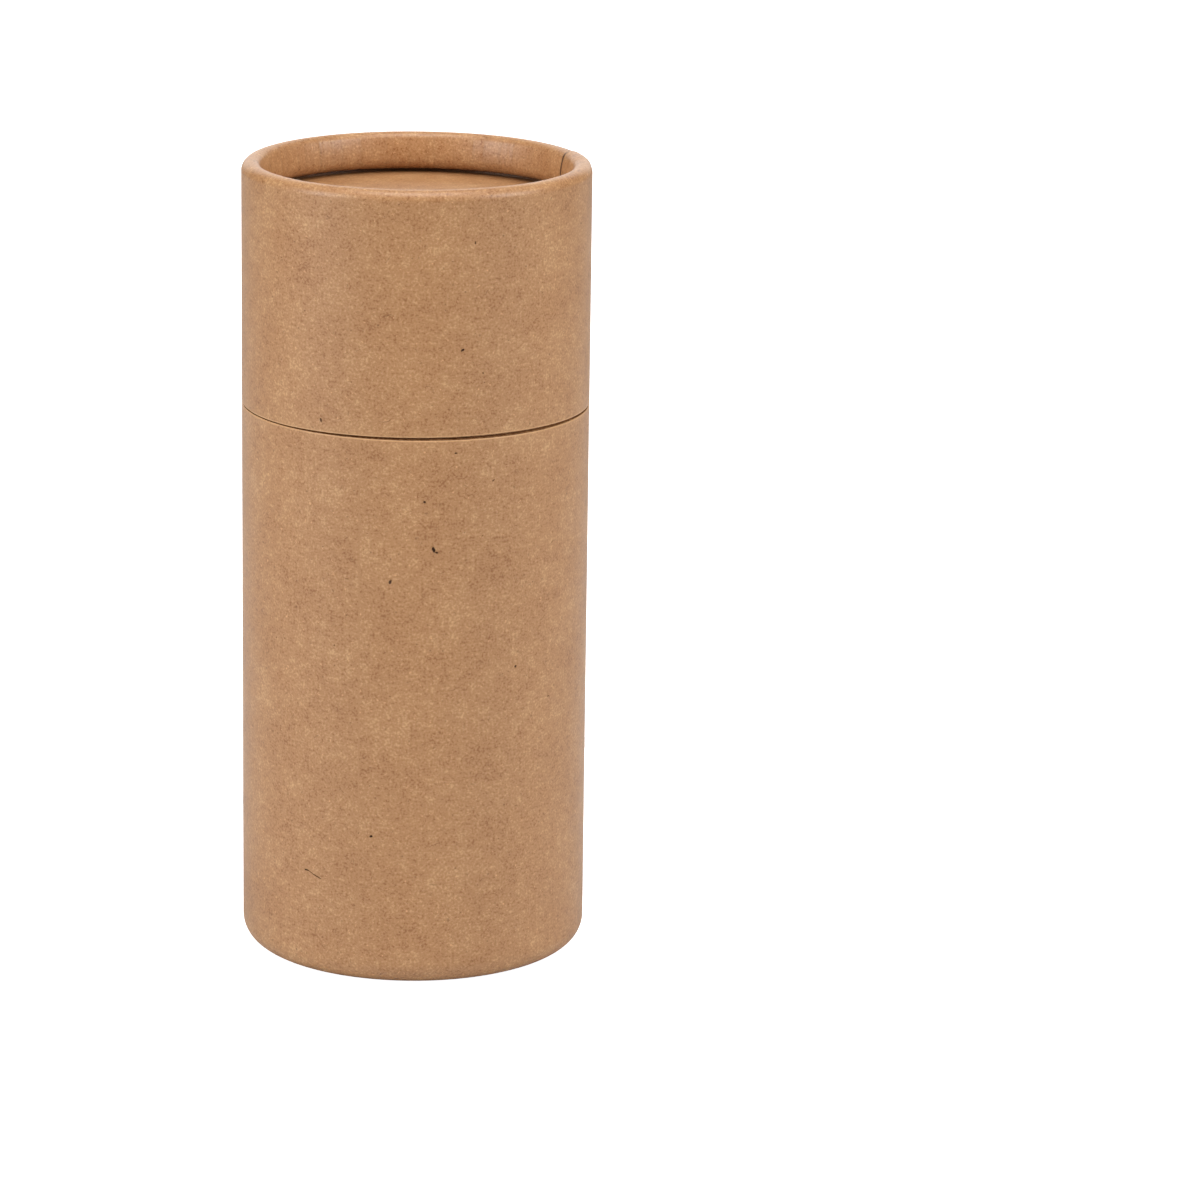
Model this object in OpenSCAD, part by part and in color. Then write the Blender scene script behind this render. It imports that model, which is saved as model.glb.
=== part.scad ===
// Round kraft paper gift tube with a lift-off lid. Each tube is wound from board plies between
// a paper wrap and a paper liner, and its closed end is rolled inward onto a board disc.
// The origin is at the centre of the foot, +Z points up to the lid, and sizes are millimetres.

/* [Overall] */
// Outside diameter of the wrapped tube
outer_d = 58; // [46:1:90]
// Height from the foot to the crest of the lid's rim
total_h = 134; // [110:1:220]
// Height of the lid from its cut edge to the crest of its rim
lid_h = 40.6; // [34:0.2:60]

/* [Tube wall] */
// Thickness of the kraft wrap outside
wrap_t = 0.2; // [0.1:0.05:0.35]
// Thickness of one wound board ply
ply_t = 0.5; // [0.3:0.05:0.7]
// Thickness of the paper liner inside, with its glue line
liner_t = 0.15; // [0.1:0.05:0.3]
// Thickness of the glue line between a ply and a paper with a butt seam
glue_t = 0.02; // [0.01:0.01:0.05]
// Width of the eased inner corner where a tube is cut across
cut_ease = 0.2; // [0.1:0.05:0.3]
// Depth below the outer face at which a cut edge starts to taper
cut_taper_w = 0.7; // [0.3:0.05:0.9]
// Height that a cut edge's taper takes from the outer face
cut_taper_h = 0.21; // [0.14:0.07:0.35]

/* [Rolled rims] */
// Free radius inside the outer bend of the lid's rim
rim_core_r = 0.45; // [0.2:0.05:1.5]
// Free radius inside the softer outer bend of the foot
foot_core_r = 2.65; // [0.6:0.05:3.2]
// Width of the flat that the foot stands on
foot_flat_w = 1; // [0.4:0.1:2]
// Free radius inside the fold where the edge turns down into the tube
fold_core_r = 0.1; // [0.05:0.05:0.6]
// Outer radius of the long bulge of the turned-in edge
edge_bulge_r = 12; // [9:0.5:20]
// Free radius inside the curl at the end of the turned-in edge
curl_core_r = 0.75; // [0.3:0.05:1.5]
// Gap between the curl and the lid's disc
lid_disc_gap = 0.38; // [0.1:0.02:2]
// Gap between the curl and the base's disc
base_disc_gap = 0.18; // [0.1:0.02:2]

/* [Discs] */
// Thickness of the board in a disc
disc_board_t = 1.5; // [0.8:0.1:3]
// Thickness of the paper on each face of a disc
disc_paper_t = 0.2; // [0.1:0.05:0.4]

/* [Neck] */
// Height of the neck that shows above the base
neck_show_h = 22; // [10:1:24]
// Gap all round between the neck and the tubes outside it
neck_clearance = 0.15; // [0.1:0.05:0.4]
// Thickness of one board ply of the neck
neck_ply_t = 0.5; // [0.3:0.05:0.7]
// Thickness of the paper on each side of the neck
neck_paper_t = 0.15; // [0.1:0.05:0.3]

/* [Seams] */
// Width over which the wrap laps over its own first edge
lap_w = 5; // [3:0.5:8]
// Width over which the lapped wrap comes back down to the tube
lap_fade_w = 3; // [1:0.5:5]
// Direction of the lapped edge on the lid, in degrees from +X
lid_lap_a = 18.5; // [0:0.5:359]
// Direction of the lapped edge on the base, in degrees from +X
base_lap_a = 72; // [0:0.5:359]
// Directions of the butt seams, in degrees from +X
lid_liner_seam_a = 150; // [0:1:359]
base_liner_seam_a = 200; // [0:1:359]
neck_wrap_seam_a = 110; // [0:1:359]
neck_liner_seam_a = 250; // [0:1:359]
// Width of the butt seam in the liners and in the neck's paper
butt_gap = 0.3; // [0.1:0.1:0.8]

/* [Hidden] */
$fn = 144;

// Depth of each layer's inner face below the outside of the wrap
outer_ply_in = wrap_t + ply_t;
inner_ply_in = outer_ply_in + ply_t;
wall_t = inner_ply_in + liner_t;

outer_r = outer_d / 2;
tube_in_r = outer_r - wall_t;
base_h = total_h - lid_h;

// Outer radii of the bends, from the tube's corner to the curl at the end of the edge
rim_bend_r = wall_t + rim_core_r;
foot_bend_r = wall_t + foot_core_r;
fold_r = wall_t + fold_core_r;
curl_r = wall_t + curl_core_r;

// Cosine and sine of the angle at which the edge leans into the tube below its fold. They are
// those of a triangle of sides 7, 24 and 25, so the bends meet at exact points.
lean_cos = 0.96;
lean_sin = 0.28;

// Depths below the crest of the bulge's middle and of the curl's end
bulge_h = fold_r + (edge_bulge_r - fold_r) * lean_sin;
edge_h = bulge_h + curl_r * lean_cos;

lid_disc_depth = edge_h + lid_disc_gap;
base_disc_depth = edge_h + base_disc_gap;
disc_t = disc_board_t + 2 * disc_paper_t;
floor_z = base_disc_depth + disc_t;

neck_out_r = tube_in_r - neck_clearance;
neck_outer_ply_in = neck_paper_t + neck_ply_t;
neck_inner_ply_in = neck_outer_ply_in + neck_ply_t;
neck_wall_t = neck_inner_ply_in + neck_paper_t;
neck_top_z = base_h + neck_show_h;

// The lapped wrap comes down to the tube in this many even steps
fade_steps = 4;
// The foot is pressed flat, so the lap doesn't stand out below this height
lap_press_h = 0.5;

kraft = "#b98a62";
board = "#a57c58";
inside_kraft = "#c39a72";

// Angle that a width takes round the outside of the tube, to a tenth of a degree
function wrap_angle(width) = round(width / outer_r * 1800 / PI) / 10;

// Where a cut across a wall ends at this depth. It tapers to the outer face, so that a fine
// dark line shows where two tubes meet, and its inner corner is eased.
function cut_end(end, wall, depth) =
    end - max(0, cut_taper_h * (1 - depth / cut_taper_w), cut_ease + depth - wall);

// A slice of a bend's layer between two directions no more than a right angle apart
module bend_slice(centre, bend_r, depth_0, depth_1, from, to) {
    reach = 2 * bend_r;
    translate(centre)
        intersection() {
            difference() {
                circle(bend_r - depth_0);
                circle(bend_r - depth_1);
            }
            polygon([[0, 0], reach * from, reach * to]);
        }
}

// Section of one straight layer of a wall between two depths below its outer face
module wall_section(skin_r, wall, depth_0, depth_1, start, end) {
    corners = [for (d = [cut_taper_w, wall - cut_ease]) if (depth_0 < d && d < depth_1) d];
    polygon(concat(
        [[skin_r - depth_0, start]],
        [for (d = concat(depth_0, corners, depth_1)) [skin_r - d, cut_end(end, wall, d)]],
        [[skin_r - depth_1, start]]
    ));
}

// Section of one layer of a tube whose end is rolled inward. The crest of the roll lies at
// height 0 and the tube runs up from it. Depths are measured inward from the wrap's outside.
module rolled_section(depth_0, depth_1, bend_r, flat_w, end) {
    bend_x = outer_r - bend_r;
    fold_x = bend_x - flat_w;
    bulge_x = fold_x + (edge_bulge_r - fold_r) * lean_cos;
    curl_x = bulge_x - edge_bulge_r + curl_r;
    lean = [-lean_cos, -lean_sin];
    wall_section(outer_r, wall_t, depth_0, depth_1, bend_r, end);
    bend_slice([bend_x, bend_r], bend_r, depth_0, depth_1, [1, 0], [0, -1]);
    if (flat_w > 0)
        translate([fold_x, depth_0])
            square([flat_w, depth_1 - depth_0]);
    bend_slice([fold_x, fold_r], fold_r, depth_0, depth_1, [0, -1], lean);
    bend_slice([bulge_x, bulge_h], edge_bulge_r, depth_0, depth_1, lean, [-1, 0]);
    bend_slice([curl_x, bulge_h], curl_r, depth_0, depth_1, [-1, 0], [-lean_sin, lean_cos]);
}

module lid_section(depth_0, depth_1) {
    rolled_section(depth_0, depth_1, rim_bend_r, 0, lid_h);
}

module base_section(depth_0, depth_1) {
    rolled_section(depth_0, depth_1, foot_bend_r, foot_flat_w, base_h);
}

// Turns a layer drawn with its crest at height 0 over, so that the crest is the lid's top
module at_lid() {
    translate([0, 0, total_h])
        mirror([0, 0, 1])
            children();
}

// Turns the part of a wrap that stands out where it laps over its first edge. It is whole over
// the lap, and then comes back to the tube in steps. The child section reads $lap_depth.
module lap_sectors(edge_a) {
    lap_a = wrap_angle(lap_w);
    step_a = wrap_angle(lap_fade_w / fade_steps);
    $lap_depth = -wrap_t;
    rotate_extrude(angle = lap_a, start = edge_a - lap_a)
        children();
    for (i = [1 : fade_steps - 1]) {
        $lap_depth = -wrap_t * (1 - i / fade_steps);
        rotate_extrude(angle = step_a, start = edge_a - lap_a - i * step_a)
            children();
    }
}

// A layer whose two edges stop short of each other in a butt seam down one side
module butt_jointed(seam_a) {
    difference() {
        rotate_extrude()
            children();
        rotate(seam_a)
            translate([0, -butt_gap / 2, -outer_r])
                cube([outer_d, butt_gap, total_h + outer_d]);
    }
}

module lid_wrap() {
    color(kraft)
        at_lid() {
            rotate_extrude()
                lid_section(0, wrap_t);
            lap_sectors(lid_lap_a)
                lid_section($lap_depth, wrap_t / 2);
        }
}

module lid_outer_ply() {
    color(board)
        at_lid()
            rotate_extrude()
                lid_section(wrap_t, outer_ply_in);
}

module lid_inner_ply() {
    color(board)
        at_lid()
            rotate_extrude()
                lid_section(outer_ply_in, inner_ply_in);
}

module lid_liner() {
    color(inside_kraft)
        at_lid()
            butt_jointed(lid_liner_seam_a)
                lid_section(inner_ply_in + glue_t, wall_t);
}

// A round sheet that fills the tube from wall to wall
module disc(z, thickness) {
    translate([0, 0, z])
        cylinder(h = thickness, r = tube_in_r);
}

module lid_disc_facing() {
    color(kraft)
        disc(total_h - lid_disc_depth - disc_paper_t, disc_paper_t);
}

module lid_disc_board() {
    color(board)
        disc(total_h - lid_disc_depth - disc_paper_t - disc_board_t, disc_board_t);
}

module lid_disc_lining() {
    color(inside_kraft)
        disc(total_h - lid_disc_depth - disc_t, disc_paper_t);
}

module base_wrap() {
    color(kraft) {
        rotate_extrude()
            base_section(0, wrap_t);
        lap_sectors(base_lap_a)
            intersection() {
                base_section($lap_depth, wrap_t / 2);
                translate([0, lap_press_h])
                    square([outer_d, total_h]);
            }
    }
}

module base_outer_ply() {
    color(board)
        rotate_extrude()
            base_section(wrap_t, outer_ply_in);
}

module base_inner_ply() {
    color(board)
        rotate_extrude()
            base_section(outer_ply_in, inner_ply_in);
}

module base_liner() {
    color(inside_kraft)
        butt_jointed(base_liner_seam_a)
            base_section(inner_ply_in + glue_t, wall_t);
}

module base_disc_facing() {
    color(kraft)
        disc(base_disc_depth, disc_paper_t);
}

module base_disc_board() {
    color(board)
        disc(base_disc_depth + disc_paper_t, disc_board_t);
}

module base_disc_lining() {
    color(inside_kraft)
        disc(floor_z - disc_paper_t, disc_paper_t);
}

// One layer of the neck, which stands on the base's disc
module neck_section(depth_0, depth_1) {
    wall_section(neck_out_r, neck_wall_t, depth_0, depth_1, floor_z, neck_top_z);
}

module neck_wrap() {
    color(inside_kraft)
        butt_jointed(neck_wrap_seam_a)
            neck_section(0, neck_paper_t - glue_t);
}

module neck_outer_ply() {
    color(board)
        rotate_extrude()
            neck_section(neck_paper_t, neck_outer_ply_in);
}

module neck_inner_ply() {
    color(board)
        rotate_extrude()
            neck_section(neck_outer_ply_in, neck_inner_ply_in);
}

module neck_liner() {
    color(inside_kraft)
        butt_jointed(neck_liner_seam_a)
            neck_section(neck_inner_ply_in + glue_t, neck_wall_t);
}

lid_wrap();
lid_outer_ply();
lid_inner_ply();
lid_liner();
lid_disc_facing();
lid_disc_board();
lid_disc_lining();
base_wrap();
base_outer_ply();
base_inner_ply();
base_liner();
base_disc_facing();
base_disc_board();
base_disc_lining();
neck_wrap();
neck_outer_ply();
neck_inner_ply();
neck_liner();
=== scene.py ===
import math
import random
from collections import namedtuple

import bpy
import numpy as np
from mathutils import Matrix, Vector


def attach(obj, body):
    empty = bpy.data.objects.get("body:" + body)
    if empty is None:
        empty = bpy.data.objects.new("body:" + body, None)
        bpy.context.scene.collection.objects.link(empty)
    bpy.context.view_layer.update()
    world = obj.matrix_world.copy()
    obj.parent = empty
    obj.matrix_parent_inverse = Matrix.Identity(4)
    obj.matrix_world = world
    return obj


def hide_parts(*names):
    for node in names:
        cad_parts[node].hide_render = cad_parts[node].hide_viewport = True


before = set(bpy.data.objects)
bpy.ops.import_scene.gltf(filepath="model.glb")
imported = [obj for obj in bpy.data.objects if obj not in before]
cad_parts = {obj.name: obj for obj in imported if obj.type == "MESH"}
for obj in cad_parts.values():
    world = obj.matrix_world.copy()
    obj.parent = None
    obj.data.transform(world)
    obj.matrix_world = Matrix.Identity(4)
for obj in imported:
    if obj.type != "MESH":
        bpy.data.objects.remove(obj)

# Round kraft paper gift tube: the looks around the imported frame. Lengths are millimetres until
# they go into a mesh, a bump or the camera's place, which take metres. Lights and floor are in
# metres from the start. A name that ends in _R is a radius, _H a height, _W a width or a distance
# along the paper, _T a thickness and _A an angle in degrees.

MM = 0.001

# The tube's own sizes, as in the frame
OUTER_R = 29.0
TOTAL_H = 134.0
LID_H = 40.6
BASE_H = TOTAL_H - LID_H
WRAP_T = 0.2
RIM_BEND_R = 1.8
FOOT_BEND_R = 4.0
FOOT_FLAT_W = 1.0
FOLD_R = 1.45
BULGE_R = 12.0
CURL_R = 2.1
LAP_W = 5.0
LAP_FADE_W = 3.0
LID_LAP_A = 18.5
BASE_LAP_A = 72.0

# Cosine and sine of the angle that the bulge of the roll spans
LEAN_COS = 0.96
LEAN_SIN = 0.28
BULGE_H = FOLD_R + (BULGE_R - FOLD_R) * LEAN_SIN

# Rows of points along a wrap's section. Those at its tip are shares of the rounded tip, and
# those at its cut end are distances before it.
TIP_SHARES = (0.0, 0.15, 0.45)
CURL_ROWS = 13
BULGE_ROWS = 9
FOLD_ROWS = 14
FLAT_ROWS = 5
BEND_ROWS = 18
LID_WALL_ROWS = 24
BASE_WALL_ROWS = 46
CUT_ROWS = (0.1, 0.06, 0.03, 0.01, 0.0)

# Columns of points round a wrap, closer ones at these distances past its lapped edge, and the
# least angle between the two kinds, in radians
COLUMNS = 720
LAP_COLUMNS = (-1.2, -0.7, -0.45, -0.3, -0.15, -0.06, -0.012,
               0.012, 0.06, 0.12, 0.2, 0.3, 0.42, 0.56, 0.7, 0.85, 1.0, 1.15, 1.3)
COLUMN_GAP = 0.003

# How the wrap's skin departs from the plain solid
SKIN_IN = 0.045
RIPPLE = 0.003
RIPPLE_WAVES = 9
RIPPLE_TURNS = (2, 9)
RIPPLE_W = (18, 70)
RIPPLE_PHASE = (0, 6.28)
LID_SEED = 21
BASE_SEED = 22

# Puckers where the paper is rolled inward; the deep ones have an angle, a depth and a width
PUCKER_COUNT = 150
PUCKER_DEPTH = (0.008, 0.035)
PUCKER_W = (0.18, 0.5)
# Painted shade in the puckers, as a multiple of their depth
PUCKER_SHADE = 3.0
DEEP_PUCKERS = [(129.5, 0.07, 0.3), (152.0, 0.04, 0.3), (64.0, 0.035, 0.35)]
TURN_IN_W = 0.6
TURN_IN_FADE_W = 2.5

# The lapped edge: its step, lifted edge and groove, and the height to which the foot presses it
LAP_STEP = 0.15
LAP_LIFT = 0.01
LAP_LIFT_W = 0.7
LAP_GROOVE = 0.03
LAP_GROOVE_W = 0.3
LAP_GROOVE_FADE_W = 0.3
LAP_PRESS_H = 0.6
LAP_PRESS_FADE_H = 0.6

# Painted shade for the shadow along the lapped edge: a thin line outside, and a wider band where it turns
# in
LAP_SHARP_W = 0.04
LAP_LINE_W = 0.1
LAP_LINE_FADE_W = 0.2
LAP_LINE_SHADE = 0.35
LAP_TURNED_SHADE_W = 0.85
LAP_TURNED_SHADE_FADE_W = 0.3
LAP_TURNED_SHADE = 0.95

# The turned-in tip: its rounding, painted shade where it meets the disc, and the length over which it is
# uneven
TIP_ROUND = 0.16
TIP_DRAW = 0.14
TIP_SHADE = 0.1
TIP_SHADE_W = 0.1
TIP_SHADE_FADE_W = 0.5
TIP_SLACK_W = 3.0

# The cut end: how much it is shorter, its rounding, its pale band of wear and painted highlight, and where
# it is uneven
CUT_SHORT = 0.17
CUT_ROUND = 0.14
CUT_DRAW = 0.11
CUT_WEAR_HIGHLIGHT_W = 0.08
CUT_WEAR_HIGHLIGHT_FADE_W = 0.25
CUT_SLACK_W = 4.0

# How much shorter a wrap is round its two ends: a mean, and waves with size, count and phase.
# The joint is widest in front on the right.
LID_TIP_GAP = (0.0, [(0.03, 1, -2.3), (0.02, 3, 1.0)])
LID_CUT_GAP = (0.03, [(0.1, 2, 2.27), (0.012, 7, 1.0)])
BASE_TIP_GAP = (0.0, [(0.04, 1, -0.4), (0.03, 4, 0.0)])
BASE_CUT_GAP = (0.02, [(0.09, 2, 2.27), (0.01, 9, 2.0)])

# How far apart the two wraps lie in the noises of their paper
SHEET_SHIFT = 200.0

# Specks seen in the photograph: angle from +X, height, length, width, tilt and brownness
PLACED_SPECKS = [
    (-84, 75, 1.1, 0.6, 110, 0.0),
    (-83, 74.5, 0.6, 0.3, -25, 0.0),
    (-75, 108, 0.7, 0.4, 25, 0.0),
    (-98, 69.5, 0.85, 0.5, 65, 0.3),
    (-122, 95.5, 0.75, 0.5, 115, 0.6),
    (-104, 26, 0.6, 0.45, 0, 0.1),
    (-40, 47.5, 0.6, 0.2, 0, 0.7),
    (-71, 125.5, 0.6, 0.25, 85, 0.5),
    (-77, 91, 0.55, 0.3, 5, 0.5),
    (-68, 104, 0.4, 0.2, 100, 0.6),
    (-87, 83, 0.45, 0.4, 0, 0.3),
    (-64, 86, 0.6, 0.25, 35, 0.7),
    (-117, 58, 0.4, 0.25, 90, 0.8),
    (-55, 54, 0.5, 0.4, 20, 0.4),
]

# Fibres seen in the photograph: points by angle and height, half width and brownness
PLACED_FIBRES = [
    ([(-128.5, 18.5), (-127, 18.5), (-125, 18), (-122, 17.5)], 0.16, 0.1),
    ([(-113, 69.5), (-112, 69.5), (-111, 69), (-110, 68.5)], 0.07, 0.8),
    ([(-32.5, 121), (-32, 120.5), (-31.5, 120)], 0.08, 0.4),
]

# Bodies, and the heights between which their straight wall carries specks and fibres
FOOT_CLEAR_H = 4.5
JOINT_CLEAR_H = 0.6
RIM_CLEAR_H = 2.3
SPECK_BANDS = [
    ("base", FOOT_CLEAR_H, BASE_H - JOINT_CLEAR_H),
    ("lid", BASE_H + JOINT_CLEAR_H, TOTAL_H - RIM_CLEAR_H),
]

# Scattered specks: ranges of length, width as a share of it, and brownness
SPECK_SEED = 7
SPECKS_PER_MM = 0.9
SPECK_LENGTH = (0.12, 0.3)
SPECK_SLIMNESS = (0.4, 0.9)
SPECK_BROWN = (0.4, 1.3)

# A flake of bark: corners, raggedness, rings by share of its outline and rise, and its two ends
FLAKE_CORNERS = 10
FLAKE_RAGGED = (0.78, 1.15)
FLAKE_RINGS = ((0.6, 0.014), (1.0, 0.002), (0.7, -0.03))
FLAKE_TOP_UP = 0.016
FLAKE_UNDER_UP = -0.035

# Scattered fibres: a step's length, and ranges of step count, bend in radians, half width and
# brownness
FIBRE_SEED = 11
FIBRES_PER_MM = 0.45
FIBRE_CLEAR_H = 2.5
FIBRE_STEPS = (3, 6)
FIBRE_STEP = 0.35
FIBRE_BEND = (-0.6, 0.6)
FIBRE_HALF_W = (0.03, 0.05)
FIBRE_BROWN = (0.8, 1.6)

# A fibre's section: slanted edges, a raised back and a buried underside. Each of its steps is
# split, so that it follows the round wall.
FIBRE_SLANT = 1.42
FIBRE_EDGE_UP = 0.004
FIBRE_BACK_UP = 0.018
FIBRE_UNDER_UP = -0.02
FIBRE_SPLITS = 3

# Tones of the papers
Palette = namedtuple("Palette", "dark middle light")
WRAP_TONES = Palette((0.31, 0.128, 0.044), (0.465, 0.236, 0.101), (0.62, 0.365, 0.176))
INSIDE_TONES = Palette((0.34, 0.18, 0.085), (0.5, 0.29, 0.145), (0.62, 0.38, 0.2))

# A paper's surface, with the faint shine of pressed paper
PAPER_ROUGHNESS = 0.43
DISC_ROUGHNESS = 0.4
ROUGHNESS_SPREAD = 0.12
PAPER_IOR = 1.5
COAT_WEIGHT = 0.12
COAT_ROUGHNESS = 0.35
PAPER_RELIEF = 0.05
PAPER_BUMP = 0.5

# Noises of a paper: size, detail, roughness and distortion
NOISE_MEAN = 0.5
CLOUD = (9.0, 3.0, 0.55, 0.3)
MOTTLE = (1.6, 3.0, 0.6, 0.2)
FINE = (0.42, 2.0, 0.6)
TONE_SPREAD = 0.15

# Shares of mottle, fine and cloud in the tone, and of fine, mottle and pale fibres in the relief
TONE_SHARES = (0.3, 0.5, 0.2)
RELIEF_SHARES = (0.5, 0.5, 0.25)

# Curly fibres in a paper: size of the curls, thickness, and the noise under which there are none
PALE_FIBRES = (1.5, 0.012, 0.56)
PALE_FIBRES_SHIFT = (3.1, 7.7, 1.3)
BROWN_FIBRES = (1.9, 0.011, 0.58)
BROWN_FIBRES_SHIFT = (13.7, 2.9, 5.1)

# Detail, roughness and distortion of the curls' noise, and the solid share of their thickness
CURL_NOISE = (1.0, 0.5, 0.6)
CURL_CORE = 0.3

# Patches with fibres: size as a share of the curls', detail and softness
PATCH_SIZE = 0.45
PATCH_DETAIL = 1.0
PATCH_FADE = 0.05

# Dots in a paper: size of a cell, largest radius, and share of the cells that have one. They
# fade over a distance from their radius, in cells.
DARK_DOTS = (1.1, 0.16, 0.22)
PALE_DOTS = (1.3, 0.14, 0.25)
PALE_DOTS_SHIFT = (31, 17, 5)
DOT_FADE = (-0.03, 0.05)

# Marks on a paper: how strong they are, and how much lighter or darker than which of its tones
Mark = namedtuple("Mark", "strength tone factor")
PALE_FIBRE_MARK = Mark(0.45, "light", 1.35)
BROWN_FIBRE_MARK = Mark(0.5, "dark", 0.55)
DARK_DOT_MARK = Mark(0.55, "dark", 0.42)
PALE_DOT_MARK = Mark(0.45, "light", 1.5)
# Paler cut end: partly rubbed paper, partly painted highlight
WEAR_AND_HIGHLIGHT_MARK = Mark(0.6, "light", 1.25)
# Painted shade from a wrap's points
SHADE_MARK = Mark(0.95, "dark", 0.1)

# Painted shade for the shadowed corners by the discs: round the edge of a disc, and on a liner within some
# height of either end
CREASE_SHADE_TONE = (0.12, 0.04, 0.008)
DISC_SHADE_R = 26.8
DISC_SHADE_W = 5.0
DISC_SHADE = 0.72
END_SHADE_H = 6.9
END_SHADE_FADE_H = 0.8
END_SHADE = 0.85

# Wound board, with noises as above; its tones are partly its own and partly painted shade, darkened for
# the joint
BOARD_DARK = (0.16, 0.066, 0.022)
BOARD_LIGHT = (0.38, 0.19, 0.08)
LAYERS_PER_MM = 6.0
LAYER_NOISE = (1.0, 2.0, 0.6)
BOARD_NOISE = (0.5, 3.0, 0.6)
BOARD_SHARES = (0.5, 0.5)
BOARD_SPREAD = 0.14
BOARD_ROUGHNESS = 0.8
BOARD_SPECULAR = 0.2
BOARD_RELIEF = 0.1
BOARD_BUMP = 0.6

# Bark: how much a mesh's brownness counts, and faint patches
BARK_DARK = (0.02, 0.007, 0.003)
BARK_BROWN = (0.3, 0.16, 0.085)
BARK_BROWN_SHARE = 0.62
BARK_PATCH = (0.35, 0.18, 0.09)
BARK_PATCH_SHARE = 0.12
BARK_NOISE = (0.25, 2.0)
BARK_SPREAD = 0.15
BARK_ROUGHNESS = 0.8
BARK_SPECULAR = 0.15

# Camera, fitted to the photograph's outline; angles are in radians, clip distances in metres
CAMERA_DISTANCE = 900.0
CAMERA_ELEVATION = 0.2514
CAMERA_AIM_Z = 67.0
CAMERA_YAW = 0.0356
CAMERA_PITCH = 0.2596
CAMERA_ROLL = 0.0145
SENSOR_W = 36.0
FOCAL_LENGTH = 160.85
CLIP_NEAR = 0.05
CLIP_FAR = 20.0

# Soft boxes, and a bright card behind: name, place, aim, width, height and power in watts
TUBE_MIDDLE = (0.0, 0.0, 0.07)
TUBE_TOP = (0.0, 0.0, 0.13)
LIGHTS = [
    ("front_softbox", (0.05, -0.75, 0.75), TUBE_MIDDLE, 0.8, 0.5, 0.15),
    ("left_softbox", (-0.79, -0.39, 0.42), TUBE_MIDDLE, 0.35, 0.5, 4.75),
    ("right_softbox", (0.82, -0.38, 0.58), TUBE_MIDDLE, 0.35, 0.5, 5.4),
    ("top_softbox", (0.0, -0.15, 0.9), TUBE_MIDDLE, 0.6, 0.5, 5.1),
    ("back_card", (0.0, 1.1, 0.5), TUBE_TOP, 1.2, 0.9, 5.0),
]
AMBIENT_POWER = 0.1
WHITE = (1.0, 1.0, 1.0)

# Floor, with a noise as above but in metres
FLOOR_HALF_W = 4.0
FLOOR_LOW = (0.72, 0.72, 0.72)
FLOOR_HIGH = (0.75, 0.75, 0.75)
FLOOR_NOISE = (0.4, 3.0)
FLOOR_ROUGHNESS = 0.9


# Paths and surfaces

def smooth(t):
    """A smooth step from 0 to 1 as t goes from 0 to 1."""
    t = np.clip(t, 0.0, 1.0)
    return t * t * (3.0 - 2.0 * t)


def turn_past(angle, start):
    """Angle past a start, from minus to plus half a turn."""
    return (angle - start + math.pi) % (2 * math.pi) - math.pi


def arc(centre, radius, start, stop, count):
    """Points of an arc and their outward directions, as rows of radius, height, and direction."""
    a = np.radians(np.linspace(start, stop, count))
    out = np.stack([np.cos(a), np.sin(a)], 1)
    return np.hstack([np.array(centre) + radius * out, out])


def straight(start, stop, direction, count):
    """Points of a straight line that all face one way."""
    t = np.linspace(0.0, 1.0, count)[:, None]
    points = np.array(start) * (1 - t) + np.array(stop) * t
    return np.hstack([points, np.tile(direction, (count, 1))])


def with_length(path):
    """A path with one more column, the length along it."""
    steps = np.hypot(*np.diff(path[:, :2], axis=0).T)
    length = np.concatenate([[0.0], np.cumsum(steps)])
    return np.hstack([path, length[:, None]])


def rolled_path(bend_r, flat_w, end, wall_rows):
    """The outer face of a wrap in section, from the turned-in tip round the crest to the cut end.

    Heights run from the crest, which lies at 0."""
    lean = math.degrees(math.asin(LEAN_SIN))
    bend_x = OUTER_R - bend_r
    fold_x = bend_x - flat_w
    bulge_x = fold_x + (BULGE_R - FOLD_R) * LEAN_COS
    curl = [bulge_x - BULGE_R + CURL_R, BULGE_H]
    tip_a = 90 + lean
    tip_turn = math.degrees(TIP_ROUND / CURL_R)
    parts = []
    for share in TIP_SHARES:
        at = tip_a + tip_turn * share
        parts.append(arc(curl, CURL_R, at, at, 1))
    parts.append(arc(curl, CURL_R, tip_a + tip_turn, 180, CURL_ROWS))
    parts.append(arc([bulge_x, BULGE_H], BULGE_R, 180, 180 + lean, BULGE_ROWS)[1:])
    parts.append(arc([fold_x, FOLD_R], FOLD_R, 180 + lean, 270, FOLD_ROWS)[1:])
    if flat_w:
        parts.append(straight([fold_x, 0], [bend_x, 0], [0, -1], FLAT_ROWS)[1:])
    parts.append(arc([bend_x, bend_r], bend_r, -90, 0, BEND_ROWS)[1:])
    edge = end - CUT_SHORT
    wall_end = [OUTER_R, edge - 2 * CUT_ROUND]
    parts.append(straight([OUTER_R, bend_r], wall_end, [1, 0], wall_rows)[1:])
    for before in (CUT_ROUND,) + CUT_ROWS:
        at = [OUTER_R, edge - before]
        parts.append(straight(at, at, [1, 0], 1))
    return with_length(np.vstack(parts))


def lap_columns(lap_a):
    """Angles of the columns round a wrap: even all round, and close together by the lapped edge."""
    near = np.array(LAP_COLUMNS) / OUTER_R
    edge = math.radians(lap_a)
    even = edge + np.linspace(0.0, 2 * math.pi, COLUMNS, endpoint=False)
    turn = turn_past(even, edge)
    keep = turn[(turn < near[0] - COLUMN_GAP) | (turn > near[-1] + COLUMN_GAP)]
    return edge + np.sort(np.concatenate([keep, near]))


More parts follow.
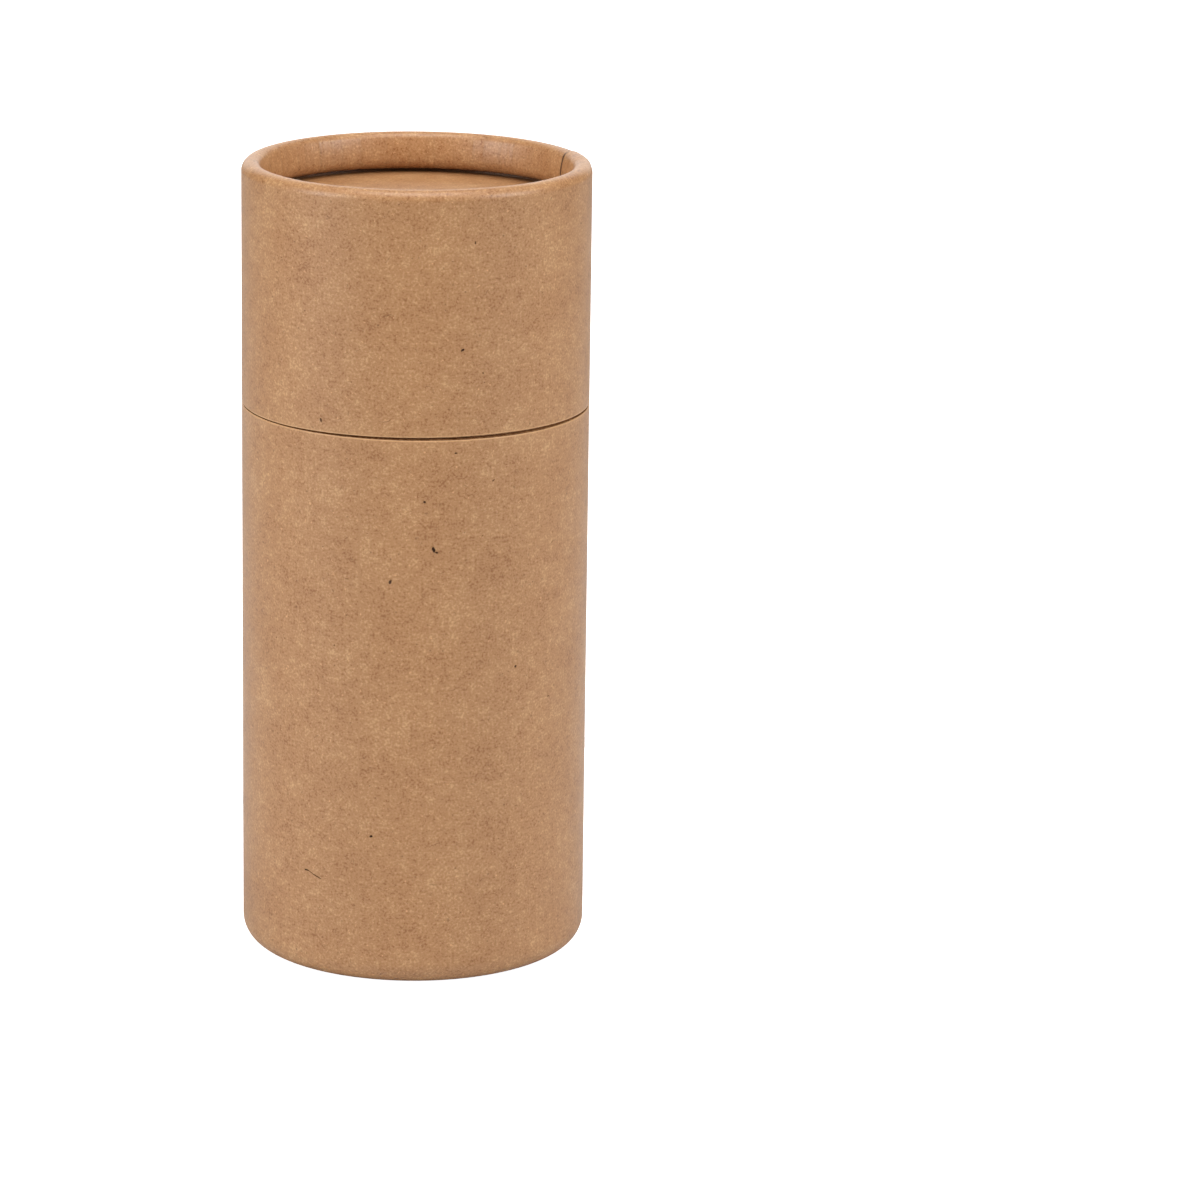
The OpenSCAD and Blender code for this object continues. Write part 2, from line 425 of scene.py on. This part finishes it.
def lap_offset(past):
    """Height of the skin where the wrap laps over its own start, for the distance past its edge."""
    upper = LAP_STEP * smooth((past + LAP_W + LAP_FADE_W) / LAP_FADE_W)
    lift = LAP_LIFT * smooth((past + LAP_LIFT_W) / LAP_LIFT_W)
    groove = -LAP_GROOVE * (1 - smooth((past - LAP_GROOVE_W) / LAP_GROOVE_FADE_W))
    return np.where(past <= 0, upper + lift, groove)


def ripple(angle, length, seed):
    """Faint unevenness of wound paper, from a few seeded waves."""
    draw = random.Random(seed)
    total = np.zeros(np.broadcast(angle, length).shape)
    for _ in range(RIPPLE_WAVES):
        turns = draw.randint(*RIPPLE_TURNS)
        wave_w = draw.uniform(*RIPPLE_W)
        around = np.cos(turns * angle + draw.uniform(*RIPPLE_PHASE))
        along = np.cos(2 * math.pi * length / wave_w + draw.uniform(*RIPPLE_PHASE))
        total += around * along
    return RIPPLE * total


def puckers(angle, seed, deep):
    """Depth of the fine creases that the paper takes where it is rolled inward."""
    draw = random.Random(seed)
    depth = np.zeros_like(angle)
    fine = [(draw.uniform(0, 360), draw.uniform(*PUCKER_DEPTH), draw.uniform(*PUCKER_W))
            for _ in range(PUCKER_COUNT)]
    for at, deepest, width in fine + deep:
        away = turn_past(angle, math.radians(at)) * OUTER_R
        depth = np.maximum(depth, deepest * np.exp(-(away / width) ** 2))
    return depth


def quarter_round(share):
    """How far a rounded end has drawn in, from 1 at its edge to 0 where the rounding starts."""
    return 1 - np.sqrt(1 - (1 - np.clip(share, 0, 1)) ** 2)


def lap_shade(past, turned_in):
    """Painted shade of the gap along the lapped edge: a thin line outside, and a wider band where it turns
    in.
    """
    edge = smooth(past / LAP_SHARP_W + 1)
    line = edge * (1 - smooth((past - LAP_LINE_W) / LAP_LINE_FADE_W))
    painted_shade = edge * (1 - smooth((past - LAP_TURNED_SHADE_W) / LAP_TURNED_SHADE_FADE_W))
    return LAP_LINE_SHADE * line * (1 - turned_in) + LAP_TURNED_SHADE * painted_shade * turned_in


def tip_shade(from_tip):
    """Painted shade on the last of the turned-in paper, for the shadowed crease where it meets the disc.
    """
    return TIP_SHADE * (1 - smooth((from_tip - TIP_SHADE_W) / TIP_SHADE_FADE_W))


def cut_wear_and_highlight(from_cut):
    """Paleness along the cut end: partly rubbed paper, partly painted highlight where the lip catches the
    light.
    """
    return 1 - smooth((from_cut - CUT_WEAR_HIGHLIGHT_W) / CUT_WEAR_HIGHLIGHT_FADE_W)


def gap_round(angle, gap):
    """How much shorter a wrap is at each angle, from a mean and waves."""
    mean, waves = gap
    return sum((size * np.cos(count * angle + phase) for size, count, phase in waves), mean)


def new_piece(name, points, faces, tints, paper=None):
    """A smooth object from points in millimetres, with tints and paper coordinates at the points."""
    mesh = bpy.data.meshes.new(name)
    mesh.from_pydata((points.reshape(-1, 3) * MM).tolist(), [], faces)
    if paper is not None:
        unrolled = mesh.attributes.new("paper", "FLOAT_VECTOR", "POINT")
        unrolled.data.foreach_set("vector", paper.reshape(-1).astype(np.float32))
    for kind, values in tints.items():
        tint = mesh.attributes.new(kind, "FLOAT", "POINT")
        tint.data.foreach_set("value", values.reshape(-1).astype(np.float32))
    mesh.polygons.foreach_set("use_smooth", [True] * len(mesh.polygons))
    mesh.update()
    piece = bpy.data.objects.new(name, mesh)
    bpy.context.scene.collection.objects.link(piece)
    return piece


def grid_faces(rows, columns):
    """Faces of a grid of points that closes on itself both ways."""
    index = np.arange(rows * columns).reshape(rows, columns)
    right = np.roll(index, -1, 1)
    below = np.roll(index, -1, 0)
    corner = np.roll(right, -1, 0)
    return np.stack([index, right, corner, below], -1).reshape(-1, 4).tolist()


# The wraps

# What a wrap is made from: its section, the angle of its lapped edge, its seed, whether heights
# run down from the top, its two uneven ends, the height to which its lap is pressed flat, and
# its deep puckers
Wrap = namedtuple("Wrap", "path lap_a seed from_top tip_gap cut_gap press_h deep")

LID = Wrap(rolled_path(RIM_BEND_R, 0.0, LID_H, LID_WALL_ROWS), LID_LAP_A, LID_SEED, True,
           LID_TIP_GAP, LID_CUT_GAP, 0.0, DEEP_PUCKERS)
BASE = Wrap(rolled_path(FOOT_BEND_R, FOOT_FLAT_W, BASE_H, BASE_WALL_ROWS), BASE_LAP_A, BASE_SEED,
            False, BASE_TIP_GAP, BASE_CUT_GAP, LAP_PRESS_H, [])


def skin_offset(wrap, angle, past, pucker):
    """How far the skin stands out from the section, for each row and column."""
    height, length = wrap.path[:, 1:2], wrap.path[:, 4:5]
    tip = TIP_DRAW * quarter_round(length / TIP_ROUND)
    cut = CUT_DRAW * quarter_round((length[-1] - length) / CUT_ROUND)
    pressed = smooth((height - wrap.press_h) / LAP_PRESS_FADE_H) if wrap.press_h else 1.0
    lap = lap_offset(past) * pressed
    return -SKIN_IN + ripple(angle, length, wrap.seed) - tip - cut + lap - pucker


def ends_slack(wrap, angle):
    """Small changes of height at the two ends of a wrap, so that neither is a perfect circle."""
    length = wrap.path[:, 4:5]
    at_tip = (1 - smooth(length / TIP_SLACK_W)) * gap_round(angle, wrap.tip_gap)
    at_cut = (1 - smooth((length[-1] - length) / CUT_SLACK_W)) * gap_round(angle, wrap.cut_gap)
    return -(at_tip + at_cut)


def wrap_piece(name, wrap):
    """A kraft wrap as a thin closed skin: an outer face with lap, puckers and ripple, and an inner one."""
    radius, height, out_r, out_h, length = (wrap.path[:, i:i + 1] for i in range(5))
    angle = lap_columns(wrap.lap_a)[None, :]
    past = turn_past(angle, math.radians(wrap.lap_a)) * OUTER_R
    crest = length[np.argmin(height)]
    turned_in = smooth((crest + TURN_IN_W - length) / TURN_IN_FADE_W)
    pucker = puckers(angle, wrap.seed + 1, wrap.deep) * turned_in
    offset = skin_offset(wrap, angle, past, pucker)
    slack = ends_slack(wrap, angle)
    plain = np.zeros_like(offset)

    r = np.vstack([radius + out_r * offset, (radius - out_r * WRAP_T)[::-1] + plain])
    h = np.vstack([height + out_h * offset + slack, (height - out_h * WRAP_T + slack)[::-1]])
    z = TOTAL_H - h if wrap.from_top else h
    points = np.stack([r * np.cos(angle), r * np.sin(angle), z], -1)
    around = np.broadcast_to(angle * OUTER_R, r.shape)
    along = np.vstack([length + plain, length[::-1] + plain]) + SHEET_SHIFT * wrap.from_top
    depth = np.vstack([plain, plain + WRAP_T])
    paper = np.stack([around, along, depth], -1)
    # Painted shade: the gap along the lapped edge, the puckers, and the turned-in tip over the disc
    shade = lap_shade(past, turned_in) + PUCKER_SHADE * pucker + tip_shade(length)
    # A paler cut end: partly rubbed paper, partly painted highlight where the lip catches the light
    wear_and_highlight = cut_wear_and_highlight(length[-1] - length) + plain
    tints = {"shade": np.vstack([shade, plain]), "wear_and_highlight": np.vstack([wear_and_highlight, plain])}
    if wrap.from_top:
        points, paper = points[::-1], paper[::-1]
        tints = {kind: values[::-1] for kind, values in tints.items()}
    return new_piece(name, points, grid_faces(*r.shape), tints, paper)


def make_wraps():
    """The two wraps, in place of their CAD nodes."""
    lid = wrap_piece("lid_wrap_skin", LID)
    base = wrap_piece("base_wrap_skin", BASE)
    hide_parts("lid_wrap")
    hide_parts("base_wrap")
    for piece, body in ((lid, "lid"), (base, "base")):
        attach(piece, body)
    return lid, base


# Specks and fibres in the paper

def wall_radius(angle, z):
    """Radius of the wrap's skin on the straight wall at this angle and height."""
    wrap = LID if z > BASE_H else BASE
    height = TOTAL_H - z if wrap.from_top else z
    wall = wrap.path[wrap.path[:, 2] == 1]
    length = np.interp(height, wall[:, 1], wall[:, 4])
    return OUTER_R - SKIN_IN + float(ripple(angle, length, wrap.seed))


def wall_point(angle, radius, z, across, up):
    """A point some way across the wall from an angle, and some way above its radius."""
    turned = angle + across / radius
    return ((radius + up) * math.cos(turned), (radius + up) * math.sin(turned), z)


def ring_mesh(rings, ends):
    """Points and faces of a closed tube through equal rings, closed by a point at each end."""
    count = len(rings[0])
    points = [ends[0]] + [point for ring in rings for point in ring] + [ends[1]]
    last = 1 + (len(rings) - 1) * count
    faces = []
    for i in range(count):
        j = (i + 1) % count
        faces.append((0, 1 + i, 1 + j))
        for near in range(1, last, count):
            far = near + count
            faces.append((near + i, far + i, far + j, near + j))
        faces.append((last + i, len(points) - 1, last + j))
    return points, faces


def flake(draw, angle_a, z, length, width, tilt_a):
    """An irregular flake of bark, half sunk in the paper."""
    outline = []
    for i in range(FLAKE_CORNERS):
        a = 2 * math.pi * i / FLAKE_CORNERS
        ragged = draw.uniform(*FLAKE_RAGGED)
        outline.append((0.5 * length * ragged * math.cos(a), 0.5 * width * ragged * math.sin(a)))
    angle = math.radians(angle_a)
    tilt = math.radians(tilt_a)
    radius = wall_radius(angle, z)

    def place(x, y, up):
        across = x * math.cos(tilt) - y * math.sin(tilt)
        rise = x * math.sin(tilt) + y * math.cos(tilt)
        return wall_point(angle, radius, z + rise, across, up)

    rings = [[place(x * share, y * share, up) for x, y in outline] for share, up in FLAKE_RINGS]
    return ring_mesh(rings, (place(0, 0, FLAKE_TOP_UP), place(0, 0, FLAKE_UNDER_UP)))


def strand(points, half_w):
    """A thin flat fibre through points given by angle and height."""
    at = np.linspace(0, len(points) - 1, FIBRE_SPLITS * (len(points) - 1) + 1)
    angles, heights = (np.interp(at, range(len(points)), values) for values in zip(*points))
    side = half_w / FIBRE_SLANT
    corners = ((-side, side, FIBRE_EDGE_UP), (0.0, 0.0, FIBRE_BACK_UP),
               (side, -side, FIBRE_EDGE_UP), (0.0, 0.0, FIBRE_UNDER_UP))
    rings = []
    for angle, z in zip(np.radians(angles), heights):
        radius = wall_radius(angle, z)
        rings.append([wall_point(angle, radius, z + rise, across, up) for across, rise, up in corners])
    ends = [tuple(np.mean(ring, axis=0)) for ring in (rings[0], rings[-1])]
    return ring_mesh(rings, ends)


def merged_piece(name, parts):
    """One object from many closed parts, each with its own brownness."""
    points, faces, brown = [], [], []
    for (own_points, own_faces), tone in parts:
        start = len(points)
        points += own_points
        faces += [tuple(start + i for i in face) for face in own_faces]
        brown += [tone] * len(own_points)
    return new_piece(name, np.array(points), faces, {"brown": np.array(brown)})


def scattered_specks(draw, low, high):
    """Small flakes at random places on a band of the wall, with their brownness."""
    parts = []
    for _ in range(int(SPECKS_PER_MM * (high - low))):
        length = draw.uniform(*SPECK_LENGTH)
        angle_a = draw.uniform(-180, 180)
        z = draw.uniform(low, high)
        width = length * draw.uniform(*SPECK_SLIMNESS)
        shape = flake(draw, angle_a, z, length, width, draw.uniform(0, 180))
        parts.append((shape, draw.uniform(*SPECK_BROWN)))
    return parts


def scattered_fibres(draw, low, high):
    """Short curly fibres at random places on a band of the wall, with their brownness."""
    parts = []
    for _ in range(int(FIBRES_PER_MM * (high - low))):
        angle_a = draw.uniform(-180, 180)
        z = draw.uniform(low + FIBRE_CLEAR_H, high - FIBRE_CLEAR_H)
        heading = draw.uniform(0, 2 * math.pi)
        points = [(angle_a, z)]
        for _ in range(draw.randint(*FIBRE_STEPS)):
            heading += draw.uniform(*FIBRE_BEND)
            angle_a += math.degrees(FIBRE_STEP * math.cos(heading) / OUTER_R)
            z += FIBRE_STEP * math.sin(heading)
            points.append((angle_a, z))
        shape = strand(points, draw.uniform(*FIBRE_HALF_W))
        parts.append((shape, draw.uniform(*FIBRE_BROWN)))
    return parts


def make_specks():
    """The specks and the fibres of each body, as one piece each."""
    pieces = []
    for step, (body, low, high) in enumerate(SPECK_BANDS):
        specks_draw = random.Random(SPECK_SEED + step)
        fibres_draw = random.Random(FIBRE_SEED + step)
        specks = [(flake(specks_draw, angle_a, z, length, width, tilt_a), tone)
                  for angle_a, z, length, width, tilt_a, tone in PLACED_SPECKS if low < z < high]
        fibres = [(strand(points, half_w), tone)
                  for points, half_w, tone in PLACED_FIBRES if low < points[0][1] < high]
        specks += scattered_specks(specks_draw, low, high)
        fibres += scattered_fibres(fibres_draw, low, high)
        for kind, parts in (("specks", specks), ("fibres", fibres)):
            piece = merged_piece(body + "_" + kind, parts)
            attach(piece, body)
            pieces.append(piece)
    return pieces


# Materials

class Tree:
    """A material's node tree, with short calls for the nodes that the papers need."""

    def __init__(self, name):
        self.material = bpy.data.materials.new(name)
        self.material.use_nodes = True
        self.tree = self.material.node_tree
        self.shader = self.tree.nodes["Principled BSDF"]

    def fill(self, node, inputs):
        """Gives a node's inputs a value each, or a link where the value is another node's output."""
        for key, value in inputs.items():
            if isinstance(value, bpy.types.NodeSocket):
                self.tree.links.new(value, node.inputs[key])
            else:
                node.inputs[key].default_value = value

    def surface(self, inputs):
        self.fill(self.shader, inputs)

    def node(self, kind, inputs=None, **settings):
        made = self.tree.nodes.new(kind)
        for key, value in settings.items():
            setattr(made, key, value)
        self.fill(made, inputs or {})
        return made

    def millimetres(self):
        """The object's own coordinates, in millimetres."""
        metres = self.node("ShaderNodeTexCoord").outputs["Object"]
        made = self.node("ShaderNodeMapping", {"Vector": metres, "Scale": (1 / MM, 1 / MM, 1 / MM)})
        return made.outputs["Vector"]

    def moved(self, where, shift):
        return self.node("ShaderNodeMapping", {"Vector": where, "Location": shift}).outputs["Vector"]

    def attribute(self, name, output="Fac"):
        return self.node("ShaderNodeAttribute", attribute_name=name).outputs[output]

    def math(self, operation, *values, clamp=False):
        made = self.node("ShaderNodeMath", dict(enumerate(values)), operation=operation, use_clamp=clamp)
        return made.outputs[0]

    def times(self, value, factor, clamp=False):
        return self.math("MULTIPLY", value, factor, clamp=clamp)

    def inverse(self, value):
        return self.math("SUBTRACT", 1.0, value)

    def blend(self, values, shares):
        """The sum of some values, each times its share."""
        total, *rest = [self.times(value, share) for value, share in zip(values, shares)]
        for part in rest:
            total = self.math("ADD", total, part)
        return total

    def noise(self, where, size, detail, roughness=0.5, distortion=0.0):
        made = self.node("ShaderNodeTexNoise", {
            "Vector": where, "Scale": 1.0 / size, "Detail": detail,
            "Roughness": roughness, "Distortion": distortion})
        return made.outputs["Fac"]

    def ramp(self, value, low, high):
        """From 0 at low to 1 at high, clamped."""
        made = self.node("ShaderNodeMapRange", {"Value": value, "From Min": low, "From Max": high},
                         interpolation_type="SMOOTHSTEP")
        return made.outputs["Result"]

    def spread(self, noise, reach):
        """From 0 to 1 over a reach on both sides of a noise's mean."""
        return self.ramp(noise, NOISE_MEAN - reach, NOISE_MEAN + reach)

    def mix(self, share, a, b):
        """Colour a with a share of colour b. The node has an input of each name for each data type."""
        made = self.node("ShaderNodeMix", data_type="RGBA")
        index = {socket.name: i for i, socket in enumerate(made.inputs) if socket.enabled}
        self.fill(made, {index["Factor"]: share, index["A"]: a, index["B"]: b})
        return [socket for socket in made.outputs if socket.enabled][0]

    def bump(self, height, relief, strength):
        made = self.node("ShaderNodeBump", {
            "Height": height, "Distance": relief * MM, "Strength": strength})
        return made.outputs["Normal"]


def colour(rgb, factor=1.0):
    """A colour for a socket, made lighter or darker by a factor."""
    return tuple(min(1.0, part * factor) for part in rgb) + (1.0,)


def axis_distance(tree, where):
    """Distance from the tube's axis."""
    parts = tree.node("ShaderNodeSeparateXYZ", {"Vector": where}).outputs
    squares = [tree.times(parts[axis], parts[axis]) for axis in ("X", "Y")]
    return tree.math("SQRT", tree.math("ADD", *squares))


def fibre_mask(tree, where, size, thickness, bare):
    """Thin curly lines: contours of a noise, broken up by a second one."""
    field = tree.noise(where, size, *CURL_NOISE)
    line = tree.math("ABSOLUTE", tree.math("SUBTRACT", field, NOISE_MEAN))
    thin = tree.inverse(tree.ramp(line, thickness * CURL_CORE, thickness))
    patches = tree.ramp(tree.noise(where, size * PATCH_SIZE, PATCH_DETAIL), bare, bare + PATCH_FADE)
    return tree.math("MULTIPLY", thin, patches)


def dot_mask(tree, where, size, radius, share):
    """Small spots of mixed size in a share of the cells."""
    cells = tree.node("ShaderNodeTexVoronoi", {"Vector": where, "Scale": 1.0 / size}).outputs
    parts = tree.node("ShaderNodeSeparateColor", {"Color": cells["Color"]}).outputs
    chosen = tree.math("GREATER_THAN", parts[0], 1.0 - share)
    reach = tree.times(parts[1], radius / size)
    spot = tree.inverse(tree.ramp(tree.math("SUBTRACT", cells["Distance"], reach), *DOT_FADE))
    return tree.math("MULTIPLY", spot, chosen)


def disc_edge_shade(tree, where):
    """Painted shade round the edge of a disc, for the shadowed crease under the rolled wall."""
    edge = tree.ramp(axis_distance(tree, where), DISC_SHADE_R - DISC_SHADE_W, DISC_SHADE_R)
    return tree.times(edge, DISC_SHADE)


def end_shade(tree, where):
    """Painted shade on the liners beyond the two discs, for the shadowed corners by the discs."""
    height = tree.node("ShaderNodeSeparateXYZ", {"Vector": where}).outputs["Z"]
    top_h = TOTAL_H - END_SHADE_H
    top = tree.ramp(height, top_h - END_SHADE_FADE_H, top_h)
    foot = tree.inverse(tree.ramp(height, END_SHADE_H, END_SHADE_H + END_SHADE_FADE_H))
    return tree.times(tree.math("MAXIMUM", top, foot), END_SHADE)


def marked(tree, tone, mask, mark, tones):
    """A tone with marks over it, where the mask says so."""
    over = colour(getattr(tones, mark.tone), mark.factor)
    return tree.mix(tree.times(mask, mark.strength, clamp=True), tone, over)


def grain_tone(tree, grain, tones):
    """A paper's three tones, by its grain."""
    low = tree.ramp(grain, NOISE_MEAN - TONE_SPREAD, NOISE_MEAN)
    high = tree.ramp(grain, NOISE_MEAN, NOISE_MEAN + TONE_SPREAD)
    return tree.mix(high, tree.mix(low, colour(tones.dark), colour(tones.middle)), colour(tones.light))


def kraft(name, tones, painted_shade=None, roughness=PAPER_ROUGHNESS):
    """Kraft paper: clouds, mottle, curly fibres, dots and a fine uneven surface.

    A wrap brings its own paper coordinates, and the papers of the CAD nodes a kind of painted shade."""
    tree = Tree(name)
    where = tree.millimetres() if painted_shade else tree.attribute("paper", "Vector")
    cloud = tree.noise(where, *CLOUD)
    mottle = tree.noise(where, *MOTTLE)
    fine = tree.noise(where, *FINE)
    pale = fibre_mask(tree, tree.moved(where, PALE_FIBRES_SHIFT), *PALE_FIBRES)
    brown = fibre_mask(tree, tree.moved(where, BROWN_FIBRES_SHIFT), *BROWN_FIBRES)
    dark_dots = dot_mask(tree, where, *DARK_DOTS)
    pale_dots = dot_mask(tree, tree.moved(where, PALE_DOTS_SHIFT), *PALE_DOTS)
    tone = grain_tone(tree, tree.blend((mottle, fine, cloud), TONE_SHARES), tones)
    tone = marked(tree, tone, pale, PALE_FIBRE_MARK, tones)
    tone = marked(tree, tone, brown, BROWN_FIBRE_MARK, tones)
    tone = marked(tree, tone, dark_dots, DARK_DOT_MARK, tones)
    tone = marked(tree, tone, pale_dots, PALE_DOT_MARK, tones)
    # Painted shade in the corners by the discs, on a CAD node's paper
    if painted_shade:
        tone = tree.mix(painted_shade(tree, where), tone, colour(CREASE_SHADE_TONE))
    else:
        # A paler cut end, partly rubbed paper and partly painted highlight, then painted shade from the
        # wrap's points
        tone = marked(tree, tone, tree.attribute("wear_and_highlight"), WEAR_AND_HIGHLIGHT_MARK, tones)
        tone = marked(tree, tone, tree.attribute("shade"), SHADE_MARK, tones)
    uneven = tree.times(mottle, ROUGHNESS_SPREAD)
    tree.surface({
        "Base Color": tone,
        "Roughness": tree.math("ADD", uneven, roughness - ROUGHNESS_SPREAD / 2),
        "Normal": tree.bump(tree.blend((fine, mottle, pale), RELIEF_SHARES), PAPER_RELIEF, PAPER_BUMP),
        "IOR": PAPER_IOR,
        "Coat Weight": COAT_WEIGHT,
        "Coat Roughness": COAT_ROUGHNESS,
    })
    return tree.material


def board():
    """Grey-brown wound board, with its layers showing as fine rings at the cut edges, darkened in part as
    painted shade for the joint.
    """
    tree = Tree("wound_board")
    where = tree.millimetres()
    layers = tree.times(axis_distance(tree, where), LAYERS_PER_MM)
    layer = tree.noise(tree.node("ShaderNodeCombineXYZ", {"X": layers}).outputs[0], *LAYER_NOISE)
    grain = tree.blend((layer, tree.noise(where, *BOARD_NOISE)), BOARD_SHARES)
    tree.surface({
        "Base Color": tree.mix(tree.spread(grain, BOARD_SPREAD), colour(BOARD_DARK), colour(BOARD_LIGHT)),
        "Roughness": BOARD_ROUGHNESS,
        "Specular IOR Level": BOARD_SPECULAR,
        "Normal": tree.bump(grain, BOARD_RELIEF, BOARD_BUMP),
    })
    return tree.material


def bark():
    """Dark brown specks, lighter where the mesh says so."""
    tree = Tree("bark_specks")
    brown = tree.times(tree.attribute("brown"), BARK_BROWN_SHARE, clamp=True)
    tone = tree.mix(brown, colour(BARK_DARK), colour(BARK_BROWN))
    patch = tree.spread(tree.noise(tree.millimetres(), *BARK_NOISE), BARK_SPREAD)
    tree.surface({
        "Base Color": tree.mix(tree.times(patch, BARK_PATCH_SHARE), tone, colour(BARK_PATCH)),
        "Roughness": BARK_ROUGHNESS,
        "Specular IOR Level": BARK_SPECULAR,
    })
    return tree.material


def make_materials():
    return {
        "wrap": kraft("kraft_wrap_paper", WRAP_TONES),
        "disc": kraft("kraft_disc_paper", WRAP_TONES, disc_edge_shade, DISC_ROUGHNESS),
        "inside": kraft("kraft_inside_paper", INSIDE_TONES, end_shade),
        "board": board(),
        "bark": bark(),
    }


def dress_nodes(materials):
    """Gives each CAD node its paper or board."""
    for name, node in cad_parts.items():
        if "board" in name or "ply" in name:
            chosen = "board"
        elif "facing" in name:
            chosen = "disc"
        elif name in ("lid_wrap", "base_wrap"):
            chosen = "wrap"
        else:
            chosen = "inside"
        node.data.materials.clear()
        node.data.materials.append(materials[chosen])


# Stage, lights and camera

def make_camera():
    """The camera where the photograph was taken from."""
    data = bpy.data.cameras.new("camera")
    data.sensor_width = SENSOR_W
    data.lens = FOCAL_LENGTH
    data.clip_start = CLIP_NEAR
    data.clip_end = CLIP_FAR
    camera = bpy.data.objects.new("camera", data)
    bpy.context.scene.collection.objects.link(camera)
    yaw = Matrix.Rotation(-CAMERA_YAW, 4, "Z")
    pitch = Matrix.Rotation(math.pi / 2 - CAMERA_PITCH, 4, "X")
    turn = yaw @ pitch @ Matrix.Rotation(CAMERA_ROLL, 4, "Z")
    back = CAMERA_DISTANCE * math.cos(CAMERA_ELEVATION)
    rise = CAMERA_DISTANCE * math.sin(CAMERA_ELEVATION)
    place = Vector((0.0, -back, CAMERA_AIM_Z + rise)) * MM
    camera.matrix_world = Matrix.Translation(place) @ turn
    bpy.context.scene.camera = camera


def area_light(name, place, aim, width, height, power):
    """A white soft box that the camera doesn't see."""
    data = bpy.data.lights.new(name, "AREA")
    data.shape = "RECTANGLE"
    data.size = width
    data.size_y = height
    data.energy = power
    data.color = WHITE
    light = bpy.data.objects.new(name, data)
    bpy.context.scene.collection.objects.link(light)
    facing = (Vector(aim) - Vector(place)).to_track_quat("-Z", "Y")
    light.matrix_world = Matrix.Translation(place) @ facing.to_matrix().to_4x4()
    light.visible_camera = False


def make_world():
    """A soft white room."""
    world = bpy.data.worlds.new("studio")
    world.use_nodes = True
    room = world.node_tree.nodes["Background"]
    room.inputs["Color"].default_value = colour(WHITE)
    room.inputs["Strength"].default_value = AMBIENT_POWER
    bpy.context.scene.world = world


def make_floor():
    """A plain white sheet, exposed to pure white for the camera as in the photograph."""
    half = FLOOR_HALF_W
    corners = [(-half, -half, 0), (half, -half, 0), (half, half, 0), (-half, half, 0)]
    mesh = bpy.data.meshes.new("floor")
    mesh.from_pydata(corners, [], [(0, 1, 2, 3)])
    floor = bpy.data.objects.new("floor", mesh)
    bpy.context.scene.collection.objects.link(floor)
    tree = Tree("floor_white")
    cloud = tree.noise(tree.node("ShaderNodeTexCoord").outputs["Object"], *FLOOR_NOISE)
    tree.surface({
        "Base Color": tree.mix(cloud, colour(FLOOR_LOW), colour(FLOOR_HIGH)),
        "Roughness": FLOOR_ROUGHNESS,
        "Emission Color": colour(WHITE),
        "Emission Strength": tree.node("ShaderNodeLightPath").outputs["Is Camera Ray"],
    })
    mesh.materials.append(tree.material)


def main():
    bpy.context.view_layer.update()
    bpy.context.scene.view_settings.view_transform = "Standard"
    make_camera()
    for light in LIGHTS:
        area_light(*light)
    make_world()
    make_floor()
    materials = make_materials()
    dress_nodes(materials)
    for piece in make_wraps():
        piece.data.materials.append(materials["wrap"])
    for piece in make_specks():
        piece.data.materials.append(materials["bark"])


main()
